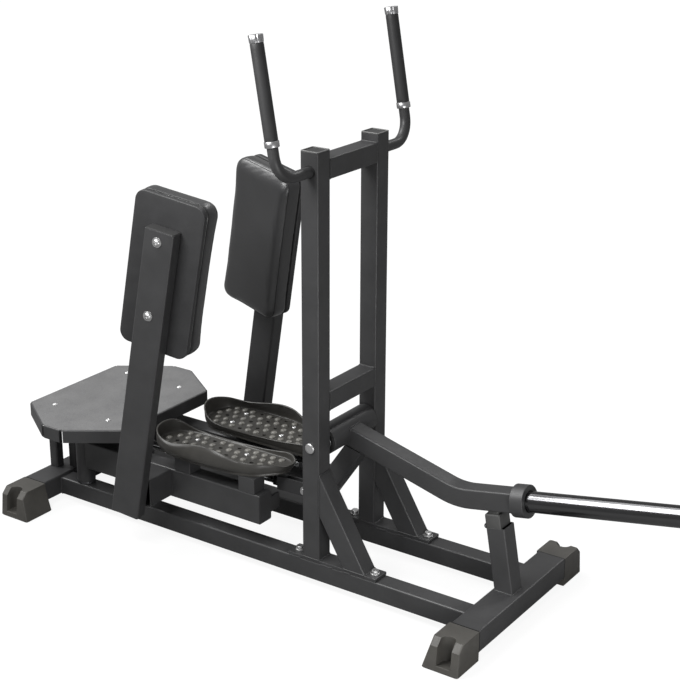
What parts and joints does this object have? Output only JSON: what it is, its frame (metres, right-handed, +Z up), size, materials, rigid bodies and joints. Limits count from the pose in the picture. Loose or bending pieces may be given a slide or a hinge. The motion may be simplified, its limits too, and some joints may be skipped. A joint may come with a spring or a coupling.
{
  "type": "standing hip abductor machine",
  "caption": "Plate-loaded standing hip abductor machine: foot trays and thigh pads on levers that swing outward and lift a weight arm through push rods",
  "frame": {"origin": "centre of the bounding box's underside, on the floor", "axes": "+X forward towards the weight sleeve, +Y to the user's left, +Z up"},
  "size_m": [1.8501, 0.61, 1.3717],
  "materials": {
    "frame_paint": "satin charcoal powder coat",
    "chrome": "bright chrome plate",
    "zinc_steel": "zinc plated steel",
    "pad_vinyl": "dark grey vinyl, fine grain",
    "pad_board": "plywood under black covering",
    "grip_rubber": "ribbed dark rubber",
    "foot_plastic": "dark grey moulded plastic",
    "pedal_plastic": "dark moulded plastic with raised nubs",
    "buffer_rubber": "moulded buffer rubber",
    "platform_tread": "grey anti-slip coating",
    "plug_plastic": "black plastic plug",
    "bush_plastic": "black nylon bush"
  },
  "bodies": {
    "root": {"base_bolt_front_left": "zinc_steel", "base_bolt_front_right": "zinc_steel", "base_bolt_rear_left": "zinc_steel", "base_bolt_rear_right": "zinc_steel", "base_plate_left": "frame_paint", "base_plate_right": "frame_paint", "brace_left": "frame_paint", "brace_right": "frame_paint", "foot_cap_front_left": "foot_plastic", "foot_cap_front_right": "foot_plastic", "foot_cap_rear_left": "foot_plastic", "foot_cap_rear_right": "foot_plastic", "front_cross_beam": "frame_paint", "grip_end_cap_left": "chrome", "grip_end_cap_right": "chrome", "grip_left": "grip_rubber", "grip_right": "grip_rubber", "handlebar_left": "frame_paint", "handlebar_right": "frame_paint", "hinge_spindle_left": "zinc_steel", "hinge_spindle_right": "zinc_steel", "lower_crossbar": "frame_paint", "pivot_axle": "zinc_steel", "platform_plate": "platform_tread", "platform_stand": "frame_paint", "rail_left": "frame_paint", "rail_right": "frame_paint", "rear_cross_beam": "frame_paint", "rest_buffer": "buffer_rubber", "rest_post": "frame_paint", "top_crossbar": "frame_paint", "upright_cap_left": "plug_plastic", "upright_cap_right": "plug_plastic", "upright_left": "frame_paint", "upright_right": "frame_paint"},
    "weight_arm": {"crank_arm": "frame_paint", "crank_pin": "zinc_steel", "pivot_bush_left": "bush_plastic", "pivot_bush_right": "bush_plastic", "pivot_sleeve": "frame_paint", "stop_collar": "frame_paint", "weight_arm": "frame_paint", "weight_sleeve": "chrome"},
    "lever_right": {"hinge_hub_right": "frame_paint", "lever_tube_right": "frame_paint", "pad_board_right": "pad_board", "pad_cushion_right": "pad_vinyl", "pad_fixing_right": "zinc_steel", "pad_post_right": "frame_paint", "pedal_right": "pedal_plastic"},
    "push_rod_right": {"push_rod_right": "zinc_steel"},
    "lever_left": {"hinge_hub_left": "frame_paint", "lever_tube_left": "frame_paint", "pad_board_left": "pad_board", "pad_cushion_left": "pad_vinyl", "pad_fixing_left": "zinc_steel", "pad_post_left": "frame_paint", "pedal_left": "pedal_plastic"},
    "push_rod_left": {"push_rod_left": "zinc_steel"}
  },
  "joints": [
    {"name": "lever_right_swing", "type": "hinge", "parent": "root", "child": "lever_right", "pos_m": [-0.77606, -0.122, 0.14], "axis": [0, 0, -1], "range_deg": [0, 25]},
    {"name": "lever_left_swing", "type": "hinge", "parent": "root", "child": "lever_left", "pos_m": [-0.77606, 0.122, 0.14], "axis": [0, 0, 1], "range_deg": [0, 25]},
    {"name": "weight_arm_lift", "type": "hinge", "parent": "root", "child": "weight_arm", "pos_m": [-0.00106, 0, 0.374], "axis": [0, -1, 0], "range_deg": [0, 9.9]},
    {"name": "push_rod_right_pin", "type": "hinge", "parent": "weight_arm", "child": "push_rod_right", "pos_m": [-0.07406, -0.0562, 0.212], "axis": [0, 1, 0], "range_deg": [0, 10.7]},
    {"name": "push_rod_left_pin", "type": "hinge", "parent": "weight_arm", "child": "push_rod_left", "pos_m": [-0.07406, 0.0562, 0.212], "axis": [0, 1, 0], "range_deg": [0, 10.7]}
  ],
  "couplings": [
    {"joint": "lever_left_swing", "follows": "lever_right_swing", "ratio": 1},
    {"joint": "weight_arm_lift", "follows": "lever_right_swing", "ratio": 0.3946},
    {"joint": "push_rod_right_pin", "follows": "lever_right_swing", "ratio": 0.4269},
    {"joint": "push_rod_left_pin", "follows": "lever_right_swing", "ratio": 0.4269}
  ]
}
